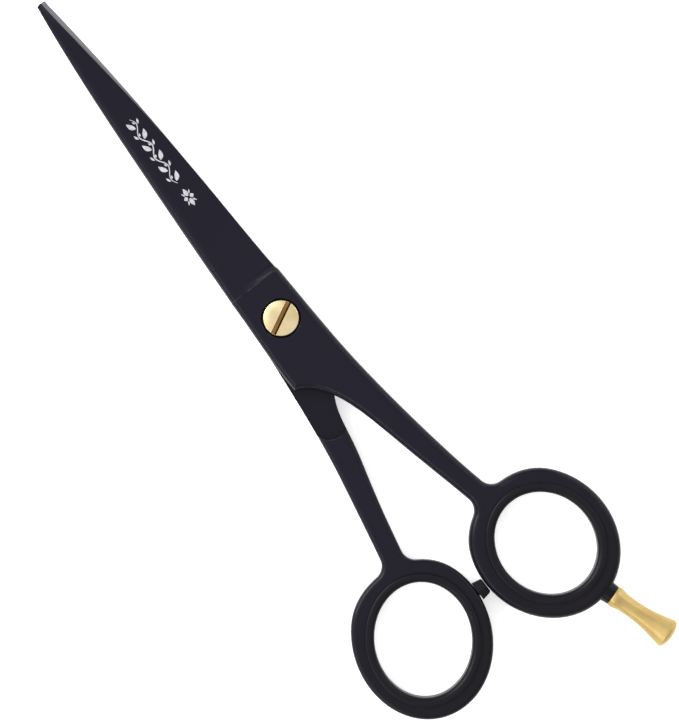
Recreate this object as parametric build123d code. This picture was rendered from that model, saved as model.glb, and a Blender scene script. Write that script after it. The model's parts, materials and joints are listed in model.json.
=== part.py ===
from build123d import *
from math import atan2, cos, radians, sin, sqrt, tan
import os

# Hair cutting shears, closed. The origin is on the pivot axis, in the plane of the underside.
# +X points to the blade tips, +Y to the thumb bow's side, +Z up to the pivot screw's head.

# Levels
PLATE = 2.6            # thickness of each half at the pivot
TOTAL = 2 * PLATE      # both halves at the pivot
HALF_GAP = 0.025       # each half stands back this far from the parting plane
BOW = 4.0              # thickness of the bows
BOW_LOW = PLATE - BOW / 2
BOW_HIGH = PLATE + BOW / 2

# Blades, from the pad to the tip. Each station: distance from the pivot, thickness at the cutting edge and
# at the spine, and radius of the rounded edge and of the rounded spine
PAD_END = 7.1          # the flat pivot pad ends here, at the top of a ramp
TIP_X = 67.95
HALF_T = PLATE - HALF_GAP
EDGE_R = 1.25          # rounding of the outer faces' edges
ROOT_STEP = 0.04       # the ramp starts this far inside the pad's outline
ROOT_T = HALF_T - ROOT_STEP
PAD_STATION = dict(x=PAD_END, edge_t=ROOT_T, spine_t=ROOT_T, edge_r=EDGE_R, spine_r=EDGE_R)
STATIONS = [
    dict(x=7.9, edge_t=2.05, spine_t=2.54, edge_r=0.3, spine_r=1.3),
    dict(x=14, edge_t=1.1, spine_t=2.45, edge_r=0.2, spine_r=1.4),
    dict(x=36, edge_t=0.45, spine_t=2.05, edge_r=0.1, spine_r=1.3),
    dict(x=54, edge_t=0.35, spine_t=1.55, edge_r=0.1, spine_r=0.95),
    dict(x=TIP_X, edge_t=0.3, spine_t=0.85, edge_r=0.08, spine_r=0.3),
]
# Distances of the cutting edge and the spine from the X axis, at the pad's end and then at each station
FRONT_WIDTHS = [(4.75, 5.25), (4.5, 5.18), (4.18, 4.9), (3.2, 3.7), (1.47, 2.39), (0.02, 0.82)]
BACK_WIDTHS = [(4.7, 4.68), (4.45, 4.42), (4.3, 4.14), (3.1, 3.28), (1.55, 2.1), (0.05, 0.78)]
# Each tip is cut off through a point, along a line turned by an angle
FRONT_TIP = dict(point=(67.75, 0.35), turn=15)
BACK_TIP = dict(point=(67.83, 0.35), turn=2)
HOLLOW = 0.12          # depth of the hollow ground inner face
HOLLOW_START = 0.03    # and where it begins

# The groove ground across the foot of the ramp: its place, its radius, and the line of its floor across the
# blade, which comes up to the surface on the spine's side
GROOVE_X = 8.2
GROOVE_R = 0.8
GROOVE_FLOOR = [(-5.5, 1.74), (5.5, 2.66)]

# Handles: points along each shank's outer edge, its inner edge with the heel, and the pad's free side
FINGER_OUTER = [
    (PAD_END, -4.75), (-2, -5.1), (-12, -5.7), (-24, -7.1), (-34, -8.65), (-42, -10.2), (-50, -12.2),
]
FINGER_INNER = [
    (-11.2, 5.65), (-12.8, 3.1), (-16.3, 0.6), (-24, -1.96), (-32, -3.8), (-42, -6.2), (-50, -7.9),
]
FINGER_SIDE = [(PAD_END, 5.25), (0, 5.5), (-7, 5.75), (-11.2, 5.65)]
THUMB_OUTER = [
    (PAD_END, 4.7), (-3, 5.6), (-12, 6.45), (-24, 7.95), (-34, 9.8), (-42, 11.4), (-50, 13.2),
]
THUMB_INNER = [
    (-11.2, -5.3), (-12.8, -2.2), (-16.3, 0.9), (-24, 2.98), (-32, 5.0), (-42, 7.35), (-50, 8.9),
]
THUMB_SIDE = [(PAD_END, -4.68), (-2, -5.0), (-11.2, -5.3)]
NECKS = (-48, -40)     # the shanks run into the bows between these stations
NECK_R = 2.6           # rounding there
INNER_EDGE_R = 0.9     # rounding of the inner faces' edges
HOLE_EDGE_R = 0.3

# The outer faces come down from the pad to the bow between these stations, and the inner faces come from the
# joint face's step to the bow
OUTER_RUN = (-13, -41)
INNER_RUN = (-25, -41)
JOINT_STEP = 0.9
JOINT_R = 19.3         # the joint faces reach this far from the pivot
JOINT_END_R = 3.15     # and end in a smaller round on each shank
FINGER_JOINT_END = (-19.05, -3.4)
THUMB_JOINT_END = (-19.05, 4.25)

# Bows: centre, half axes and turn of the outer oval, then of the opening inside the rubber insert. The outer
# oval is drawn in at its shoulders, on both sides of the neck, whose direction is measured from the long axis
FINGER_BOW = dict(outer=(-57.81, -12.43, 13.75, 12.2, 11.1), hole=(-58.06, -12.63, 9.28, 8.27, 8.6), neck=0)
THUMB_BOW = dict(outer=(-58.07, 14.06, 14.04, 12.04, -22.0), hole=(-58.4, 14.04, 9.86, 8.36, -30.2), neck=12)
SHOULDER_DRAW = 0.88
SHOULDER_REACH = 52    # degrees to each side of the neck
OUTLINE_POINTS = 36

# Rubber inserts
INSERT_WALL = 0.8
INSERT_LIP = 1.6       # width of the lip, from the opening outwards
LIP_HEIGHT = 0.5       # how far the lips stand above and below the bow
LIP_R = 0.35           # rounding of the lip's outer edge
MOUTH_R = 0.95         # and of its inner edge
INSERT_PLAY = 0.02     # keeps the insert off the bow

# Pivot
HEAD_R = 3.05
HEAD_RIM = 0.45
HEAD_DOME = 0.55
HEAD_EDGE_R = 0.12
SINK_R = 3.42
SINK_DEPTH = 0.55
WASHER_T = 0.2
WASHER_R = 3.15
WASHER_BORE = 1.9
SHANK_R = 1.8
THREAD_R = 1.7
PIVOT_PLAY = 0.04      # clearance round the pivot screw, and half of it under its head
SCREW_END = 0.15       # the screw's end lies this far inside the underside
END_CHAMFER = 0.3
SLOT_WIDTH = 0.95
SLOT_DEPTH = 0.75
SLOT_ANGLE = -63

# Finger rest: where it meets its boss, the direction in which it points, and its outline along the axis
REST_BASE = (-72.1, -16.3, PLATE)
REST_ANGLE = 197.5
REST_PROFILE = [(0, 1.7), (0.7, 1.84), (1.6, 1.68), (4.0, 1.54), (6.5, 1.68), (8.8, 2.06), (11.3, 2.6)]
REST_END = 1.25        # length of the rounded end
BOSS_ROOT_R = 1.98
BOSS_END_R = 1.76
BOSS_LENGTH = 3.2
REST_PLAY = 0.04       # clearance of the rest's stud in its hole, and of its shoulder from the boss
STUD_R = 0.9
STUD_LENGTH = 3.6
STUD_HOLE = 4.0

# Bumper: a tapering hexagonal stop that stands on the thumb bow's edge, its axis along Y
BUMPER_X = -57.55
BUMPER_CORNERS = 3.87  # across the corners of its base
BUMPER_TAPER = 10
BUMPER_FACE_Y = -0.12
BUMPER_SEAT_Y = 1.7
BUMPER_CHAMFER = 0.2
STEM_R = 0.8
STEM_LENGTH = 2.0
STEM_PLAY = 0.03

# Construction aids
RISING = (Align.CENTER, Align.CENTER, Align.MIN)
FALLING = (Align.CENTER, Align.CENTER, Align.MAX)
AHEAD = (Align.MIN, Align.CENTER, Align.CENTER)
NEAR = 0.01            # how close two lengths are when they count as the same
SAME_CENTRE = 0.2      # and how close the centre of an opening's rim is to the opening's
FACING = 0.5           # a face counts as an outer or inner one when its normal has this much of Z
CLEAR = 5              # how far a cutting solid reaches beyond the material
CUT_FRONT, CUT_BACK, CUT_SIDE = 20, -90, 60


def oval(x, y, half_long, half_short, turn, grow=0.0):
    return Pos(x, y) * Rot(0, 0, turn) * Ellipse(half_long + grow, half_short + grow)


def bow_outline(bow):
    """The bow's outer oval, drawn in towards its centre at both shoulders."""
    x, y, half_long, half_short, turn = bow["outer"]
    points = []
    for index in range(OUTLINE_POINTS):
        angle = 360 * index / OUTLINE_POINTS
        off_neck = abs((angle - bow["neck"] + 180) % 360 - 180)
        draw = SHOULDER_DRAW * (1 + cos(radians(180 * min(off_neck / SHOULDER_REACH, 1)))) / 2
        across = cos(radians(angle)) / half_long
        up = sin(radians(angle)) / half_short
        radius = 1 / sqrt(across ** 2 + up ** 2) - draw
        points.append((radius * cos(radians(angle)), radius * sin(radians(angle))))
    return Pos(x, y) * Rot(0, 0, turn) * make_face(Spline(*points, periodic=True))


def slab(sketch, low, high):
    return Pos(0, 0, low) * extrude(sketch, high - low)


def blade_section(width, hollow, x, edge_t, spine_t, edge_r, spine_r):
    """A cross-section in the YZ plane with its flat side at the parting plane and its edge at -Y."""
    edge, spine = width
    slope = atan2(spine_t - edge_t, spine + edge)
    run_s = spine_r / tan((radians(90) - slope) / 2)
    run_e = edge_r / tan((radians(90) + slope) / 2)
    ahead = Vector(0, cos(slope), sin(slope))
    edge_centre = Vector(x, -edge + edge_r, edge_t - run_e)
    spine_centre = Vector(x, spine - spine_r, spine_t - run_s)
    mid_e = radians(135) + slope / 2
    mid_s = radians(45) + slope / 2
    wall_e = Vector(x, -edge, edge_t - run_e)
    wall_s = Vector(x, spine, spine_t - run_s)
    line_e = Vector(x, -edge, edge_t) + ahead * run_e
    line_s = Vector(x, spine, spine_t) - ahead * run_s
    low_e = Vector(x, -edge, 0)
    low_s = Vector(x, spine, 0)
    edges = [
        Line(low_e, wall_e),
        ThreePointArc(wall_e, edge_centre + Vector(0, cos(mid_e), sin(mid_e)) * edge_r, line_e),
        Line(line_e, line_s),
        ThreePointArc(line_s, spine_centre + Vector(0, cos(mid_s), sin(mid_s)) * spine_r, wall_s),
        Line(wall_s, low_s),
        ThreePointArc(low_s, Vector(x, (spine - edge) / 2, hollow), low_e),
    ]
    return make_face(Wire(edges))


def run_out_groove():
    """The round bar that cuts the groove across the foot of the ramp."""
    start, end = [Vector(GROOVE_X, y, z + GROOVE_R) for y, z in GROOVE_FLOOR]
    axis = Plane(origin=start, z_dir=end - start)
    return axis * Cylinder(GROOVE_R, (end - start).length, align=RISING)


def blade(widths, tip):
    """A blade with its flat side at z = 0: the ramp down from the pad, then the tapering blade."""
    pad_edge, pad_spine = widths[0]
    root = blade_section((pad_edge - ROOT_STEP, pad_spine - ROOT_STEP), HOLLOW_START, **PAD_STATION)
    first = blade_section(widths[1], HOLLOW_START, **STATIONS[0])
    others = [blade_section(w, HOLLOW, **s) for w, s in zip(widths[2:], STATIONS[1:])]
    taper = loft([first] + others)
    tip_cut = Pos(*tip["point"]) * Rot(0, 0, tip["turn"]) * Box(CUT_FRONT, CUT_SIDE, CUT_SIDE, align=AHEAD)
    return loft([root, first], ruled=True) + (taper - tip_cut) - run_out_groove()


def is_upright(edge):
    size = edge.bounding_box().size
    return size.X < NEAR and size.Y < NEAR


def is_crosswise(edge):
    return edge.bounding_box().size.X < NEAR


def rim(body, side):
    """The edges round the outer face (side 1) or the inner one (side -1), without those that cross it."""
    faces = [f for f in body.faces() if f.normal_at().Z * side > FACING]
    edges = [e for f in faces for e in f.edges()]
    return [e for e in edges if not is_crosswise(e)]


def levelling_cut(run, face_z, bow_z, side):
    """The material above (side 1) or below (side -1) a face that changes level smoothly over a run."""
    start, end = run
    middle = ((start + end) / 2, (face_z + bow_z) / 2)
    over = face_z + CLEAR * side
    profile = [
        Line((CUT_FRONT, face_z), (start, face_z)),
        TangentArc((start, face_z), middle, tangent=(-1, 0)),
        TangentArc((end, bow_z), middle, tangent=(1, 0)),
        Line((end, bow_z), (CUT_BACK, bow_z)),
        Line((CUT_BACK, bow_z), (CUT_BACK, over)),
        Line((CUT_BACK, over), (CUT_FRONT, over)),
        Line((CUT_FRONT, over), (CUT_FRONT, face_z)),
    ]
    face = make_face(Wire([Plane.XZ * p for p in profile]))
    return Pos(0, CUT_SIDE, 0) * extrude(face, 2 * CUT_SIDE, dir=(0, -1, 0))


def joint_cut(end):
    """What is taken off a half's inner side, so that the two halves lie face to face."""
    reach = Cylinder(JOINT_R, TOTAL, align=FALLING) + Pos(*end) * Cylinder(JOINT_END_R, TOTAL, align=FALLING)
    return Pos(0, 0, PLATE + HALF_GAP) * reach


def half_body(outer, inner, side, bow, joint_end):
    """One half behind its blade, drawn as the front half: its outer face is at the top."""
    bow_end = Line(outer[-1], inner[-1])
    pad_end = Line(side[0], outer[0])
    plan = Wire([Spline(*outer), bow_end, Spline(*inner), Spline(*side), pad_end])
    body = slab(make_face(plan), 0, TOTAL) + slab(bow_outline(bow), 0, TOTAL)
    neck_edges = [e for e in body.edges() if is_upright(e) and NECKS[0] < e.center().X < NECKS[1]]
    body = fillet(neck_edges, NECK_R)
    body = body - levelling_cut(OUTER_RUN, TOTAL, BOW_HIGH, 1)
    body = body - levelling_cut(INNER_RUN, PLATE - JOINT_STEP, BOW_LOW, -1)
    body = fillet(rim(body, 1), EDGE_R)
    body = fillet(rim(body, -1), INNER_EDGE_R)
    body = body - joint_cut(joint_end)
    opening = oval(*bow["hole"], grow=INSERT_WALL + INSERT_PLAY)
    body = body - slab(opening, -CLEAR, TOTAL + CLEAR)
    return fillet(opening_rims(body, bow), HOLE_EDGE_R)


def opening_rims(body, bow):
    """The two sharp edges of the bow's opening."""
    x, y = bow["hole"][:2]
    found = []
    for edge in body.edges():
        centre = edge.center(CenterOf.BOUNDING_BOX)
        if abs(centre.X - x) < SAME_CENTRE and abs(centre.Y - y) < SAME_CENTRE:
            found.append(edge)
    return found


def finger_half():
    body = half_body(FINGER_OUTER, FINGER_INNER, FINGER_SIDE, FINGER_BOW, FINGER_JOINT_END)
    body = body + Pos(0, 0, PLATE + HALF_GAP) * blade(FRONT_WIDTHS, FRONT_TIP)
    body = body - Cylinder(SHANK_R + PIVOT_PLAY, 3 * TOTAL)
    body = body - Pos(0, 0, TOTAL) * Cylinder(SINK_R, 2 * SINK_DEPTH)
    along = Pos(*REST_BASE) * Rot(0, 0, REST_ANGLE) * Rot(0, 90, 0)
    body = body + along * Cone(BOSS_ROOT_R, BOSS_END_R, BOSS_LENGTH, align=FALLING)
    return body - along * Cylinder(STUD_R + REST_PLAY, STUD_HOLE, align=FALLING)


def thumb_half():
    """Drawn with its outer face at the top like the finger half, then turned over."""
    body = half_body(THUMB_OUTER, THUMB_INNER, THUMB_SIDE, THUMB_BOW, THUMB_JOINT_END)
    body = body + Pos(0, 0, PLATE + HALF_GAP) * mirror(blade(BACK_WIDTHS, BACK_TIP), Plane.XZ)
    body = mirror(body, Plane.XY.offset(PLATE))
    body = body - Cylinder(THREAD_R + PIVOT_PLAY, 3 * TOTAL)
    hole_length = BUMPER_SEAT_Y - BUMPER_FACE_Y + STEM_LENGTH + STEM_PLAY
    return body - on_bumper_axis(BUMPER_FACE_Y, Cylinder(STEM_R + STEM_PLAY, hole_length, align=RISING))


def on_bumper_axis(y, shape):
    """Puts a shape drawn along +Z on the bumper's axis, starting at y and running to +Y."""
    return Pos(BUMPER_X, y, PLATE) * Rot(-90, 0, 0) * shape


def bumper():
    hexagon = RegularPolygon(BUMPER_CORNERS / 2, 6, rotation=90)
    head = extrude(hexagon, BUMPER_SEAT_Y - BUMPER_FACE_Y, taper=BUMPER_TAPER)
    head = chamfer(head.faces().sort_by(Axis.Z)[-1].edges(), BUMPER_CHAMFER)
    head = Rot(180, 0, 0) * head
    stem = Cylinder(STEM_R, STEM_LENGTH, align=RISING)
    return on_bumper_axis(BUMPER_SEAT_Y, head + stem)


def shortest_edge(body, z):
    """The shortest edge that lies at a height."""
    level = [e for e in body.edges() if abs(e.center().Z - z) < NEAR and e.bounding_box().size.Z < NEAR]
    return min(level, key=lambda e: e.length)


def insert(bow):
    """The rubber ring that fills a bow's opening, with a lip on each face of the bow."""
    hole = bow["hole"]
    low, high = BOW_LOW - LIP_HEIGHT, BOW_HIGH + LIP_HEIGHT
    ring = slab(oval(*hole, grow=INSERT_WALL), low, high)
    ring = ring + slab(oval(*hole, grow=INSERT_LIP), low, BOW_LOW)
    ring = ring + slab(oval(*hole, grow=INSERT_LIP), BOW_HIGH, high)
    ring = fillet([e for e in ring.edges() if abs(e.center().Z - low) < NEAR], LIP_R)
    ring = fillet([e for e in ring.edges() if abs(e.center().Z - high) < NEAR], LIP_R)
    ring = ring - slab(oval(*hole), low - CLEAR, high + CLEAR)
    return fillet([shortest_edge(ring, low), shortest_edge(ring, high)], MOUTH_R)


def finger_insert():
    return insert(FINGER_BOW)


def thumb_insert():
    return insert(THUMB_BOW)


def pivot_washer():
    ring = Cylinder(WASHER_R, WASHER_T, align=RISING) - Cylinder(WASHER_BORE, CLEAR)
    return Pos(0, 0, TOTAL - SINK_DEPTH) * ring


def pivot_screw():
    """A domed head with a slot, a plain shank in the finger half and a thread in the thumb half."""
    seat = TOTAL - SINK_DEPTH + WASHER_T + PIVOT_PLAY / 2
    rim_z = seat + HEAD_RIM
    top_z = rim_z + HEAD_DOME
    outline = [
        Line((0, SCREW_END), (THREAD_R - END_CHAMFER, SCREW_END)),
        Line((THREAD_R - END_CHAMFER, SCREW_END), (THREAD_R, SCREW_END + END_CHAMFER)),
        Line((THREAD_R, SCREW_END + END_CHAMFER), (THREAD_R, PLATE)),
        Line((THREAD_R, PLATE), (SHANK_R, PLATE)),
        Line((SHANK_R, PLATE), (SHANK_R, seat)),
        Line((SHANK_R, seat), (HEAD_R, seat)),
        Line((HEAD_R, seat), (HEAD_R, rim_z)),
        TangentArc((0, top_z), (HEAD_R, rim_z), tangent=(1, 0)),
        Line((0, top_z), (0, SCREW_END)),
    ]
    screw = revolve(make_face(Wire([Plane.XZ * p for p in outline])), Axis.Z)
    rim_edges = [e for e in screw.edges() if abs(e.center(CenterOf.BOUNDING_BOX).Z - rim_z) < NEAR]
    screw = fillet(rim_edges, HEAD_EDGE_R)
    slot = Rot(0, 0, SLOT_ANGLE) * Box(3 * HEAD_R, SLOT_WIDTH, CLEAR, align=RISING)
    return screw - Pos(0, 0, top_z - SLOT_DEPTH) * slot


def finger_rest():
    """A turned trumpet with a rounded end and a stud."""
    tip_x, tip_r = REST_PROFILE[-1]
    base_r = REST_PROFILE[0][1]
    outline = [
        Spline(*REST_PROFILE),
        EllipticalCenterArc((tip_x, 0), REST_END, tip_r, 0, arc_size=90),
        Line((tip_x + REST_END, 0), (-STUD_LENGTH, 0)),
        Line((-STUD_LENGTH, 0), (-STUD_LENGTH, STUD_R)),
        Line((-STUD_LENGTH, STUD_R), (0, STUD_R)),
        Line((0, STUD_R), (0, base_r)),
    ]
    rest = revolve(make_face(Wire(outline)), Axis.X)
    return Pos(*REST_BASE) * Rot(0, 0, REST_ANGLE) * Pos(REST_PLAY, 0, 0) * rest


PARTS = [
    finger_half,
    thumb_half,
    finger_insert,
    thumb_insert,
    pivot_screw,
    pivot_washer,
    finger_rest,
    bumper,
]

if __name__ == "__main__":
    os.makedirs("parts", exist_ok=True)
    for make in PARTS:
        export_step(make(), f"parts/{make.__name__}.step")
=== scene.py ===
import json
import math

import bmesh
import bpy
from mathutils import Matrix, Vector


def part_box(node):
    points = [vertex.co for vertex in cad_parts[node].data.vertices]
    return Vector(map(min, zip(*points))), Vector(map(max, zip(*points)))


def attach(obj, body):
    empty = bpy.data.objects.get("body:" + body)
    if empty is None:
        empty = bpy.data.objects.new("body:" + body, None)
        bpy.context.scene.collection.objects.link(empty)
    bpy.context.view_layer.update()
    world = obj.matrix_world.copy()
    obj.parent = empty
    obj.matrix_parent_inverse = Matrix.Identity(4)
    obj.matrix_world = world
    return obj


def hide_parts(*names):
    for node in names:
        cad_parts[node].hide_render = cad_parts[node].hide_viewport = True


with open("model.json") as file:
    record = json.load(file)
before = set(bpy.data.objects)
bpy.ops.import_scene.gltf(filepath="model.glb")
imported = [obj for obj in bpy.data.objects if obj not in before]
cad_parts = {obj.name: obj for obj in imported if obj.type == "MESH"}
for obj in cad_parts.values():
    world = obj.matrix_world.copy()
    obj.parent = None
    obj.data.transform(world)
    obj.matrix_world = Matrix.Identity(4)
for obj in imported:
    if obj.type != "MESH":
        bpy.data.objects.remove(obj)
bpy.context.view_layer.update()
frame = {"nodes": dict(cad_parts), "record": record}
nodes = frame["nodes"]
record = frame["record"]
mm = 0.001
joints = {joint["name"]: joint for joint in record["behaviour"]["joints"]}

# Levels and axes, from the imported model
PARTING = joints["blade_pivot"]["pos_m"][2]
PIVOT = Vector((0, 0, 0))                       # the pivot's axis goes through the model's origin
UP = Vector((0, 0, 1))
REST_AXIS = Vector(joints["finger_rest_unscrew"]["axis"]).normalized()

# The view from above: what the picture's middle shows, the picture's directions, and how much it takes in
PICTURE_CENTRE = Vector((-11.87 * mm, -3.49 * mm, 2.6 * mm))
PICTURE_UP = Vector((0.7945, -0.6073, 0)).normalized()
PICTURE_RIGHT = PICTURE_UP.cross(UP)
PICTURE_HEIGHT = 123.606 * mm
CAMERA_DISTANCE = 0.62
SENSOR = 36.0


# ---------------------------------------------------------------- materials

class Graph:
    """A material's node tree with one Principled shader, and short calls for the nodes used below."""

    def __init__(self, name):
        self.material = bpy.data.materials.new(name)
        self.material.use_nodes = True
        tree = self.material.node_tree
        self.nodes, self.links = tree.nodes, tree.links
        self.nodes.clear()
        self.shader = self.nodes.new("ShaderNodeBsdfPrincipled")
        output = self.nodes.new("ShaderNodeOutputMaterial")
        self.links.new(self.shader.outputs[0], output.inputs["Surface"])
        self.place = self.node("ShaderNodeTexCoord").outputs["Object"]

    def node(self, kind, inputs=(), **settings):
        """A new node with its inputs, by name, and its settings."""
        made = self.nodes.new(kind)
        for key, value in settings.items():
            setattr(made, key, value)
        for key, value in dict(inputs).items():
            self.feed(made.inputs[key], value)
        return made

    def feed(self, socket, value):
        """Link a socket to another one, or give it a constant value."""
        if isinstance(value, bpy.types.NodeSocket):
            self.links.new(value, socket)
        else:
            socket.default_value = value

    def set(self, **values):
        """Feed the shader's sockets, with underscores for the spaces in their names."""
        for key, value in values.items():
            self.feed(self.shader.inputs[key.replace("_", " ")], value)

    def stretched(self, scale):
        """The object's coordinates, with a scale for each axis."""
        return self.node("ShaderNodeMapping", {"Vector": self.place, "Scale": scale}).outputs["Vector"]

    def noise(self, scale, detail, vector=None):
        """Noise from 0 to 1 over the object's coordinates, or over other ones."""
        inputs = {"Vector": vector or self.place, "Scale": scale, "Detail": detail}
        return self.node("ShaderNodeTexNoise", inputs).outputs["Fac"]

    def spread(self, value, low, high, to_low=0.0, to_high=1.0):
        """The range from low to high, stretched to another range and held at its ends."""
        inputs = {"Value": value, "From Min": low, "From Max": high, "To Min": to_low, "To Max": to_high}
        return self.node("ShaderNodeMapRange", inputs).outputs["Result"]

    def mix(self, factor, a, b):
        """Colour a at factor 0, and b at factor 1."""
        made = self.node("ShaderNodeMix", data_type="RGBA")
        self.feed(made.inputs[0], factor)
        self.feed(made.inputs[6], a)
        self.feed(made.inputs[7], b)
        return made.outputs[2]

    def math(self, operation, a, b=0.0):
        made = self.node("ShaderNodeMath", operation=operation)
        self.feed(made.inputs[0], a)
        self.feed(made.inputs[1], b)
        return made.outputs[0]

    def times(self, a, b):
        return self.math("MULTIPLY", a, b)

    def plus(self, a, b):
        return self.math("ADD", a, b)

    def bump(self, height, distance, strength, under=None):
        """A normal for this height, over another bump if one is given."""
        inputs = {"Height": height, "Distance": distance, "Strength": strength}
        if under is not None:
            inputs["Normal"] = under
        return self.node("ShaderNodeBump", inputs).outputs["Normal"]

    def dot(self, a, b):
        made = self.node("ShaderNodeVectorMath", operation="DOT_PRODUCT")
        self.feed(made.inputs[0], a)
        self.feed(made.inputs[1], b)
        return made.outputs["Value"]

    def edges(self, radius):
        """0 on flat surfaces, rising to 1 on sharp edges."""
        rounded = self.node("ShaderNodeBevel", {"Radius": radius}, samples=6).outputs["Normal"]
        plain = self.node("ShaderNodeNewGeometry").outputs["Normal"]
        return self.spread(self.dot(rounded, plain), 0.99, 0.8)

    def rings(self, centre, axis, scale):
        """Noise that only changes with the distance from a line: turning marks or rubbing marks."""
        from_centre = self.node("ShaderNodeVectorMath", operation="SUBTRACT")
        self.feed(from_centre.inputs[0], self.place)
        self.feed(from_centre.inputs[1], centre)
        across = self.node("ShaderNodeVectorMath", operation="CROSS_PRODUCT")
        self.feed(across.inputs[0], from_centre.outputs["Vector"])
        self.feed(across.inputs[1], axis)
        radius = self.node("ShaderNodeVectorMath", operation="LENGTH")
        self.feed(radius.inputs[0], across.outputs["Vector"])
        line = self.node("ShaderNodeCombineXYZ", {"X": radius.outputs["Value"]}).outputs["Vector"]
        return self.noise(scale, 3, line)


VIOLET_FROM, VIOLET_FULL = -66 * mm, -40 * mm       # the coating turns more violet between these places
SLOT_SIDE = Vector((-0.891, -0.454, 0))             # across the screw's slot, to the side painted dark as the slot wall's shadow


def grey(value):
    """An opaque grey."""
    return (value, value, value, 1)


def coated_steel(name="coated_steel", depth=1.0, rubbed=False):
    """Dark coating with a violet tint and a fine blasted grain, paler along sharp edges, partly as wear and
    partly as a painted highlight.
    """
    g = Graph(name)
    patches = g.noise(70, 3)
    grain = g.noise(4200, 2)
    dark = (0.0034 * depth, 0.0027 * depth, 0.0050 * depth, 1)
    light = (0.0052 * depth, 0.0042 * depth, 0.0074 * depth, 1)
    violet = (0.0052 * depth, 0.0042 * depth, 0.0104 * depth, 1)
    base = g.mix(g.spread(patches, 0.3, 0.7), dark, light)
    along = g.node("ShaderNodeSeparateXYZ", {"Vector": g.place}).outputs["X"]
    base = g.mix(g.spread(along, VIOLET_FROM, VIOLET_FULL), base, violet)
    # pale patches on the edges: partly wear, partly a painted highlight on the rims
    wear_and_highlight = g.times(g.edges(0.10 * mm), g.spread(g.noise(500, 3), 0.48, 0.66))
    base = g.mix(wear_and_highlight, base, (0.13, 0.125, 0.135, 1))
    rough = g.plus(g.spread(patches, 0.3, 0.7, 0.30, 0.36), g.spread(grain, 0.3, 0.7, -0.04, 0.04))
    normal = g.bump(grain, 0.005 * mm, 0.7)
    if rubbed:
        marks = g.rings(PIVOT, UP, 6000)
        rough = g.plus(rough, g.spread(marks, 0.3, 0.7, -0.08, 0.05))
        normal = g.bump(marks, 0.003 * mm, 0.6, normal)
    g.set(Base_Color=base, Roughness=rough, Specular_IOR_Level=0.14, Normal=normal)
    return g.material


def ground_steel():
    """Bare steel with a grinding wheel's fine lines across the blade, and darker along its edges."""
    g = Graph("ground_steel")
    lines = g.noise(1.0, 3, g.stretched((14000, 250, 250)))
    tone = g.noise(60, 2)
    base = g.mix(g.spread(tone, 0.3, 0.7), (0.17, 0.158, 0.178, 1), (0.23, 0.215, 0.24, 1))
    base = g.mix(g.edges(0.22 * mm), base, (0.08, 0.076, 0.084, 1))
    g.set(Base_Color=base, Metallic=1.0, Roughness=g.spread(lines, 0.3, 0.7, 0.26, 0.4))
    g.set(Normal=g.bump(lines, 0.003 * mm, 0.7))
    return g.material


def gold_metal(name, low, high, roughness=0.4, centre=PIVOT, axis=UP, slot_shadow=False, turned=False):
    """Satin gold-coloured metal between two tones, with fine turning marks round an axis.

    With a slot shadow, the metal is painted darker toward the slot's side, as a shadow cast by the wall.
    Turned metal has stretched reflections and a painted highlight along its edges.
    """
    g = Graph(name)
    tone = g.noise(260, 3)
    grain = g.noise(5200, 2)
    marks = g.rings(centre, axis, 9000)
    base = g.mix(g.spread(tone, 0.3, 0.7), low, high)
    if slot_shadow:
        # painted shadow: the slot's floor is darker toward one wall, as if that wall shaded it
        slot_wall_shadow = g.spread(g.dot(g.place, SLOT_SIDE), 0.05 * mm, 0.24 * mm)
        base = g.mix(slot_wall_shadow, base, (0.03, 0.010, 0.003, 1))
    if turned:
        # painted highlight: the turned edges are painted a paler gold
        base = g.mix(g.edges(0.13 * mm), base, (0.92, 0.82, 0.58, 1))
        g.set(Anisotropic=0.6)
        g.set(Tangent=g.node("ShaderNodeTangent", direction_type="RADIAL", axis="Z").outputs["Tangent"])
    around = g.spread(grain, 0.3, 0.7, roughness - 0.04, roughness + 0.04)
    g.set(Base_Color=base, Metallic=1.0, Roughness=g.plus(around, g.spread(marks, 0.3, 0.7, -0.04, 0.04)))
    g.set(Normal=g.bump(marks, 0.002 * mm, 0.6, g.bump(grain, 0.003 * mm, 0.5)))
    return g.material


def insert_rubber():
    """Satin moulded rubber with a parting line half way up."""
    g = Graph("insert_rubber")
    patches = g.noise(150, 3)
    grain = g.noise(3600, 3)
    base = g.mix(g.spread(patches, 0.3, 0.7), (0.0032, 0.0026, 0.0050, 1), (0.0046, 0.0038, 0.0068, 1))
    height = g.node("ShaderNodeSeparateXYZ", {"Vector": g.place}).outputs["Z"]
    from_parting = g.math("ABSOLUTE", g.plus(height, -PARTING))
    seam = g.spread(from_parting, 0.10 * mm, 0.03 * mm)
    g.set(Base_Color=base, Roughness=g.spread(grain, 0.3, 0.7, 0.34, 0.44), Specular_IOR_Level=0.15)
    g.set(Normal=g.bump(seam, 0.05 * mm, 0.8, g.bump(grain, 0.006 * mm, 0.7)))
    return g.material


def black_nylon(name="black_nylon", depth=1.0):
    """Satin black plastic, with a painted highlight: a little paler on its edges."""
    g = Graph(name)
    grain = g.noise(3500, 3)
    dark = (0.0032 * depth, 0.0027 * depth, 0.0042 * depth, 1)
    light = (0.0062 * depth, 0.0052 * depth, 0.0080 * depth, 1)
    # painted highlight: the edges are painted paler, as a sheen
    base = g.mix(g.edges(0.14 * mm), g.mix(grain, dark, light), (0.030, 0.027, 0.036, 1))
    g.set(Base_Color=base, Specular_IOR_Level=0.14 * depth)
    g.set(Roughness=g.spread(grain, 0.3, 0.7, 0.36, 0.46))
    g.set(Normal=g.bump(grain, 0.004 * mm, 0.5))
    return g.material


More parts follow.
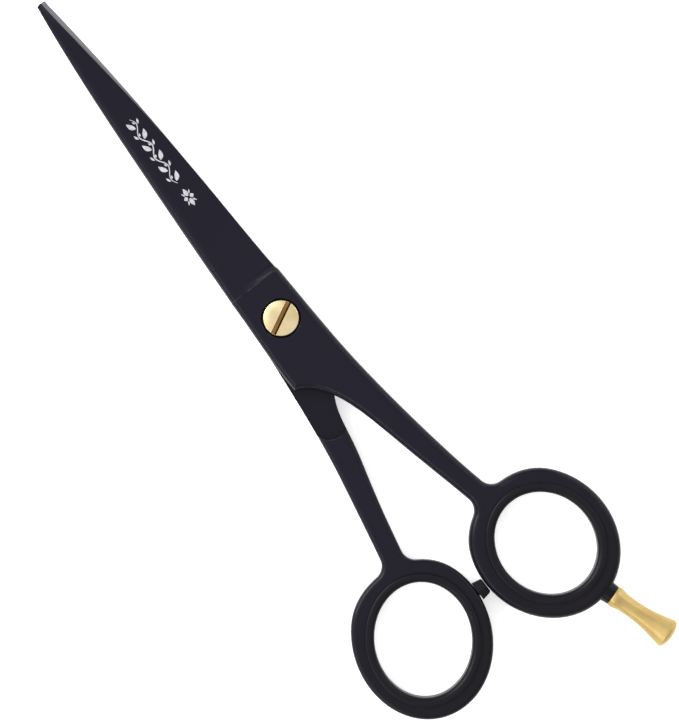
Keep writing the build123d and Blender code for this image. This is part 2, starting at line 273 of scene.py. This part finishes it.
def etched_mark():
    """The pale, matte surface that a laser leaves on the coating."""
    g = Graph("etched_mark")
    grain = g.noise(2600, 3)
    base = g.mix(g.spread(grain, 0.3, 0.7), (0.30, 0.29, 0.33, 1), (0.52, 0.51, 0.54, 1))
    g.set(Base_Color=base, Roughness=0.7, Specular_IOR_Level=0.2, Normal=g.bump(grain, 0.004 * mm, 0.8))
    return g.material


def floor_paper():
    """White paper lit a little from below, as on a light table."""
    g = Graph("floor_paper")
    fibres = g.noise(900, 3)
    g.set(Base_Color=g.mix(fibres, grey(0.93), grey(0.96)), Roughness=0.9, Specular_IOR_Level=0.1)
    g.set(Emission_Color=grey(1), Emission_Strength=0.5)
    return g.material


def dress(obj, *materials):
    """Give an object these materials, in the order of its slots."""
    obj.data.materials.clear()
    for material in materials:
        obj.data.materials.append(material)


# ---------------------------------------------------------------- the finger rest's shape, from its node

def turned_outline(vertices, base, axis):
    """Places along an axis and the largest distance of the vertices from it at each, in mm."""
    found = {}
    for vertex in vertices:
        along = (vertex.co - base).dot(axis)
        radius = (vertex.co - base - axis * along).length
        key = round(along / mm, 3)
        found[key] = max(found.get(key, 0.0), radius / mm)
    return sorted(found.items())


def axis_point(vertices, axis):
    """The point of the axis at the lowest end of a turned solid."""
    lowest = min(v.co.dot(axis) for v in vertices)
    end = [v.co for v in vertices if v.co.dot(axis) < lowest + 0.001 * mm]
    low = [min(co[i] for co in end) for i in range(3)]
    high = [max(co[i] for co in end) for i in range(3)]
    return Vector([(a + b) / 2 for a, b in zip(low, high)])


STUD_WITHIN = 1.35              # the stud is thinner than this radius, in mm, and the shoulder is wider
STUD_END = axis_point(nodes["finger_rest"].data.vertices, REST_AXIS)
REST_OUTLINE = turned_outline(nodes["finger_rest"].data.vertices, STUD_END, REST_AXIS)
SHOULDER = next(along for along, radius in REST_OUTLINE if radius > STUD_WITHIN)


# ---------------------------------------------------------------- CAD pieces

COAT, GROUND, JOINT_FACE, RECESS, BOSS = range(5)           # a half's material slots
GOLD, SLOT_FLOOR, SLOT_WALL = range(3)                      # the screw's
GROUND_FROM = 8.2 * mm          # ahead of this the blades' inner faces are ground bare
FACE_DEPTH = 0.2 * mm           # the inner faces' middles lie closer than this to the parting plane
RECESS_RADIUS = 3.44 * mm       # just over that of the recess round the screw's head
RECESS_ABOVE = PARTING + 1.5 * mm           # a height between the parting plane and the recess
REST_SHOULDER = STUD_END + REST_AXIS * (SHOULDER * mm)      # it stands just off the end of the boss
BOSS_LENGTH, BOSS_RADIUS = 2.24 * mm, 2.0 * mm              # of a cylinder round the boss's outer part
DOME = 0.55 * mm                # height of the screw's dome
HEAD_BELOW = 0.5 * mm           # just over the height of the head below its dome
HEAD_CLEAR = 0.05 * mm          # faces this close to the head's outline aren't the slot's


def inner_face_material(polygon, inward):
    """The slot for the joint faces, for the ground inner face of the blade, or for the coating elsewhere."""
    inner = polygon.normal.z * inward > 0.9 and abs(polygon.center.z - PARTING) < FACE_DEPTH
    if not inner:
        return COAT
    return GROUND if polygon.center.x > GROUND_FROM else JOINT_FACE


def in_recess(place):
    """Whether a place is in the recess round the screw's head."""
    return place.xy.length < RECESS_RADIUS and place.z > RECESS_ABOVE


def is_on_boss(place):
    """Whether a place is on the boss that the finger rest screws into."""
    ahead = (place - REST_SHOULDER).dot(REST_AXIS)
    aside = (place - REST_SHOULDER - REST_AXIS * ahead).length
    return ahead > -BOSS_LENGTH and aside < BOSS_RADIUS


def dress_halves():
    """Coated steel, with bare blades inside, rubbed joint faces, a recess painted near black as shade, and a
    dark boss.
    """
    coat = coated_steel()
    ground = ground_steel()
    joint_face = coated_steel("joint_face", 0.75, rubbed=True)
    # painted shade: the recess round the screw's head is painted near black
    recess = black_nylon("recess_painted_shade", 0.2)
    for half, inward in (("finger_half", -1), ("thumb_half", 1)):
        dress(nodes[half], coat, ground, joint_face, recess)
        for polygon in nodes[half].data.polygons:
            polygon.material_index = inner_face_material(polygon, inward)
    front = nodes["finger_half"].data
    front.materials.append(coated_steel("boss_coat", 0.4))
    for polygon in front.polygons:
        if in_recess(polygon.center):
            polygon.material_index = RECESS
        elif is_on_boss(polygon.center):
            polygon.material_index = BOSS


def dress_screw():
    """Gold all over, with painted shade inside the slot: a darker floor and near-black walls."""
    screw = nodes["pivot_screw"]
    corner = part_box("pivot_screw")[1]
    gold = gold_metal("gold_metal", (0.64, 0.51, 0.28, 1), (0.80, 0.69, 0.44, 1), 0.30, turned=True)
    # painted shade: the slot's floor and walls are darker copies of the gold
    slot_floor = gold_metal("slot_floor", (0.23, 0.12, 0.035, 1), (0.36, 0.20, 0.07, 1), slot_shadow=True)
    slot_wall = gold_metal("slot_wall", (0.03, 0.014, 0.005, 1), (0.05, 0.024, 0.008, 1))
    dress(screw, gold, slot_floor, slot_wall)
    for polygon in screw.data.polygons:
        centre = polygon.center
        in_head = centre.z > corner.z - DOME - HEAD_BELOW and centre.xy.length < corner.x - HEAD_CLEAR
        is_floor = polygon.normal.z > 0.999 and centre.z < corner.z - DOME
        polygon.material_index = GOLD
        if in_head and abs(polygon.normal.z) < 0.1:
            polygon.material_index = SLOT_WALL
        elif in_head and is_floor:
            polygon.material_index = SLOT_FLOOR


dress_halves()
dress_screw()
for name in ("finger_insert", "thumb_insert"):
    dress(nodes[name], insert_rubber())
for name in ("pivot_washer", "bumper"):
    dress(nodes[name], black_nylon())


# ---------------------------------------------------------------- finger rest with its thread

THREAD_PITCH = 0.4              # the stud's thread, in mm
THREAD_MINOR = 0.70
THREAD_MAJOR = 0.90
THREAD_RUN_OUT = 0.35
THREAD_STEPS = 10               # rings to a turn of the thread
HALF_CREST, FLANK = 1 / 6, 5 / 18       # of the thread's tooth, as parts of the pitch
STUD_CHAMFER = 0.12
SEGMENTS = 96
END_FLATTENING = 0.2            # the rounded end is shortened by this part of its length
POLE_RADIUS = 0.02              # nearer the axis than this, the end closes in one point
SHARP_FROM = math.radians(32)


def thread_radius(along, turn, start, end):
    """The radius of a single-start thread, in mm, at a place along the stud and a turn from 0 to 1."""
    phase = (along / THREAD_PITCH - turn) % 1.0
    from_crest = abs(phase - 0.5)
    tooth = min(1.0, max(0.0, (HALF_CREST + FLANK - from_crest) / FLANK))
    fade = min(1.0, (along - start) / THREAD_RUN_OUT, (end - along) / THREAD_RUN_OUT)
    return THREAD_MINOR + (THREAD_MAJOR - THREAD_MINOR) * tooth * max(0.0, fade)


def lathe(name, rings, base, axis):
    """A closed turned mesh. Each ring is a place along the axis, in mm, and its radius at each turn."""
    side = axis.orthogonal().normalized()
    other = axis.cross(side)
    bm = bmesh.new()
    loops = []
    for along, radius in rings:
        loop = []
        for i in range(SEGMENTS):
            turn = i / SEGMENTS
            angle = 2 * math.pi * turn
            outwards = side * math.cos(angle) + other * math.sin(angle)
            loop.append(bm.verts.new(base + axis * (along * mm) + outwards * (radius(turn) * mm)))
        loops.append(loop)
    for near, far in zip(loops, loops[1:]):
        for i in range(SEGMENTS):
            j = (i + 1) % SEGMENTS
            bm.faces.new((near[i], near[j], far[j], far[i]))
    for loop, place, turn_over in ((loops[0], rings[0][0], True), (loops[-1], rings[-1][0], False)):
        pole = bm.verts.new(base + axis * (place * mm))
        for i in range(SEGMENTS):
            pair = (loop[i], loop[(i + 1) % SEGMENTS])
            bm.faces.new((pole, pair[1], pair[0]) if turn_over else (pole, pair[0], pair[1]))
    bmesh.ops.recalc_face_normals(bm, faces=bm.faces)
    return finished(name, bm)


def finished(name, bm):
    """The object of a finished bmesh, smooth except at its sharp edges."""
    mesh = bpy.data.meshes.new(name)
    bm.to_mesh(mesh)
    bm.free()
    mesh.shade_smooth()
    mesh.set_sharp_from_angle(angle=SHARP_FROM)
    obj = bpy.data.objects.new(name, mesh)
    bpy.context.scene.collection.objects.link(obj)
    return obj


def make_finger_rest():
    """The turned trumpet of the CAD node, with a real thread on its stud."""
    step = THREAD_PITCH / THREAD_STEPS
    rings = [(0.0, lambda turn: THREAD_MINOR - STUD_CHAMFER)]
    for i in range(1, int(SHOULDER / step)):
        along = i * step
        rings.append((along, lambda turn, a=along: thread_radius(a, turn, step, SHOULDER - step)))
    rings.append((SHOULDER, lambda turn: THREAD_MINOR))
    trumpet = [place for place in REST_OUTLINE if place[0] >= SHOULDER and place[1] > POLE_RADIUS]
    widest = max(trumpet, key=lambda place: place[1])[0]
    for along, radius in trumpet:
        past = max(0.0, along - widest)
        rings.append((along - past * END_FLATTENING, lambda turn, r=radius: r))
    rest = lathe("finger_rest_turned", rings, STUD_END, REST_AXIS)
    tones = ((0.43, 0.305, 0.115, 1), (0.51, 0.375, 0.15, 1))
    dress(rest, gold_metal("rest_gold", *tones, 0.5, STUD_END, REST_AXIS))
    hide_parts("finger_rest")
    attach(rest, "rest")


make_finger_rest()


# ---------------------------------------------------------------- ornament etched on the front blade

RAISED = 0.010 * mm             # the mark's surface above the blade
SUNK = 0.030 * mm               # and how far it goes in
FLOWER = Vector((26.0, -0.05))  # the flower's middle, in mm
STEM_START = 29.1
WAVES, WAVE = 3, 4.52           # the stem's waves and the length of one
SWING = 0.52                    # half the height of the stem's wave
LEAF_GAP = 0.02                 # a leaf stops this far short of its points, as a part of its length


def on_blade(x, y):
    """The point of the front blade's outer face above a place given in mm."""
    above = Vector((x * mm, y * mm, 20 * mm))
    return nodes["finger_half"].ray_cast(above, -UP)[1]


class Inlay:
    """Closed thin shapes that follow the blade's face."""

    def __init__(self):
        self.bm = bmesh.new()

    def strip(self, rows):
        """A shape from pairs of points in mm, on the left and right of its middle line."""
        top, bottom = (
            [[self.bm.verts.new(on_blade(*place) + UP * offset) for place in row] for row in rows]
            for offset in (RAISED, -SUNK)
        )
        for (tl, tr), (nl, nr), (bl, br), (cl, cr) in zip(top, top[1:], bottom, bottom[1:]):
            for corners in ((tl, tr, nr, nl), (bl, cl, cr, br), (tl, nl, cl, bl), (tr, br, cr, nr)):
                self.bm.faces.new(corners)
        for (tl, tr), (bl, br), turned in ((top[0], bottom[0], False), (top[-1], bottom[-1], True)):
            corners = (tl, bl, br, tr)
            self.bm.faces.new(reversed(corners) if turned else corners)

    def leaf(self, base, tip, width, bend, count=9):
        """A pointed leaf whose middle line bows to one side."""
        base, tip = Vector(base), Vector(tip)
        along = tip - base
        side = Vector((-along.y, along.x)).normalized()
        rows = []
        for i in range(count + 1):
            t = LEAF_GAP + (1 - 2 * LEAF_GAP) * i / count
            middle = base + along * t + side * (bend * 4 * t * (1 - t))
            half = side * (width / 2 * math.sin(math.pi * t ** 0.8))
            rows.append((middle + half, middle - half))
        self.strip(rows)

    def stem(self, count=60):
        """A waving stem, thicker in the middle of its length."""
        rows = []
        for i in range(count + 1):
            t = i / count
            x = STEM_START + WAVES * WAVE * t
            angle = 2 * math.pi * WAVES * t
            slope = Vector((1, SWING * math.cos(angle) * 2 * math.pi / WAVE)).normalized()
            half = Vector((-slope.y, slope.x)) * (0.05 + 0.06 * math.sin(math.pi * t))
            middle = Vector((x, SWING * math.sin(angle)))
            rows.append((middle + half, middle - half))
        self.strip(rows)

    def finish(self, name):
        """The object of all the shapes made so far."""
        bmesh.ops.recalc_face_normals(self.bm, faces=self.bm.faces)
        return finished(name, self.bm)


def make_ornament():
    """A flower of four long and four short leaves, and a waving stem with leaves in each bend."""
    inlay = Inlay()
    for direction, length in (((1, 0), 1.75), ((-1, 0), 1.75), ((0, 1), 1.0), ((0, -1), 1.0)):
        ray = Vector(direction)
        inlay.leaf(FLOWER + ray * 0.22, FLOWER + ray * length, 0.75, 0.0)
    for x in (-1, 1):
        for y in (-1, 1):
            spot = FLOWER + Vector((0.78 * x, 0.62 * y))
            inlay.leaf(spot - Vector((0.28 * x, 0.2 * y)), spot + Vector((0.42 * x, 0.2 * y)), 0.26, 0.0)
    inlay.stem()
    for bend in range(2 * WAVES):
        x = STEM_START + WAVE * (0.25 + 0.5 * bend)
        side = 1 if bend % 2 == 0 else -1
        inlay.leaf((x - 0.78, -0.10 * side), (x + 0.86, -0.98 * side), 0.80, -0.13 * side)
        inlay.leaf((x - 0.28, 0.74 * side), (x + 0.72, 1.12 * side), 0.36, 0.06 * side)
        inlay.leaf((x - 0.02, 0.30 * side), (x + 0.52, 0.02 * side), 0.30, 0.04 * side)
    ornament = inlay.finish("blade_ornament")
    dress(ornament, etched_mark())
    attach(ornament, "finger_side")


make_ornament()


# ---------------------------------------------------------------- studio

LIGHTS = (      # name; right, up, height, width and length in metres; power in watts
    ("key", -0.55, 0.30, 0.45, 0.5, 0.25, 6.0),
    ("left_strip", -0.42, -0.46, 0.42, 0.7, 0.10, 2.0),
    ("right_strip", 0.55, 0.42, 0.30, 0.7, 0.10, 1.5),
)


def make_floor():
    """A wide sheet of white paper just below the shears."""
    size, below = 3.0, 0.05 * mm
    mesh = bpy.data.meshes.new("floor")
    corners = [(-size, -size, -below), (size, -size, -below), (size, size, -below), (-size, size, -below)]
    mesh.from_pydata(corners, [], [(0, 1, 2, 3)])
    floor = bpy.data.objects.new("floor", mesh)
    bpy.context.scene.collection.objects.link(floor)
    mesh.materials.append(floor_paper())


def area_light(name, right, up, height, width, length, power):
    """A soft light whose place is given in the picture's directions, in metres, facing the shears."""
    data = bpy.data.lights.new(name, "AREA")
    data.shape, data.size, data.size_y = "RECTANGLE", width, length
    data.energy = power
    light = bpy.data.objects.new(name, data)
    light.location = PICTURE_RIGHT * right + PICTURE_UP * up + UP * height
    light.rotation_euler = (-light.location).to_track_quat("-Z", "Y").to_euler()
    bpy.context.scene.collection.objects.link(light)


def make_world(horizon, overhead):
    """A studio that is darker round the sides than overhead."""
    world = bpy.data.worlds.new("studio")
    bpy.context.scene.world = world
    world.use_nodes = True
    tree = world.node_tree
    background = tree.nodes["Background"]
    direction = tree.nodes.new("ShaderNodeTexCoord").outputs["Generated"]
    parts = tree.nodes.new("ShaderNodeSeparateXYZ")
    level = tree.nodes.new("ShaderNodeMapRange")
    level.inputs["To Min"].default_value = horizon
    level.inputs["To Max"].default_value = overhead
    tree.links.new(direction, parts.inputs["Vector"])
    tree.links.new(parts.outputs["Z"], level.inputs["Value"])
    tree.links.new(level.outputs["Result"], background.inputs["Strength"])
    background.inputs["Color"].default_value = grey(1)


def make_camera():
    """A camera straight above the shears, turned as in the picture."""
    data = bpy.data.cameras.new("camera")
    data.sensor_width = SENSOR
    data.lens = SENSOR * CAMERA_DISTANCE / PICTURE_HEIGHT
    data.clip_start, data.clip_end = 0.01, 20
    camera = bpy.data.objects.new("camera", data)
    turn = Matrix((PICTURE_RIGHT, PICTURE_UP, UP)).transposed().to_4x4()
    camera.matrix_world = Matrix.Translation(PICTURE_CENTRE + UP * CAMERA_DISTANCE) @ turn
    bpy.context.scene.collection.objects.link(camera)
    bpy.context.scene.camera = camera


make_floor()
make_world(horizon=0.35, overhead=1.15)
for light in LIGHTS:
    area_light(*light)
make_camera()
view = bpy.context.scene.view_settings
view.view_transform = "Standard"
view.look = "None"
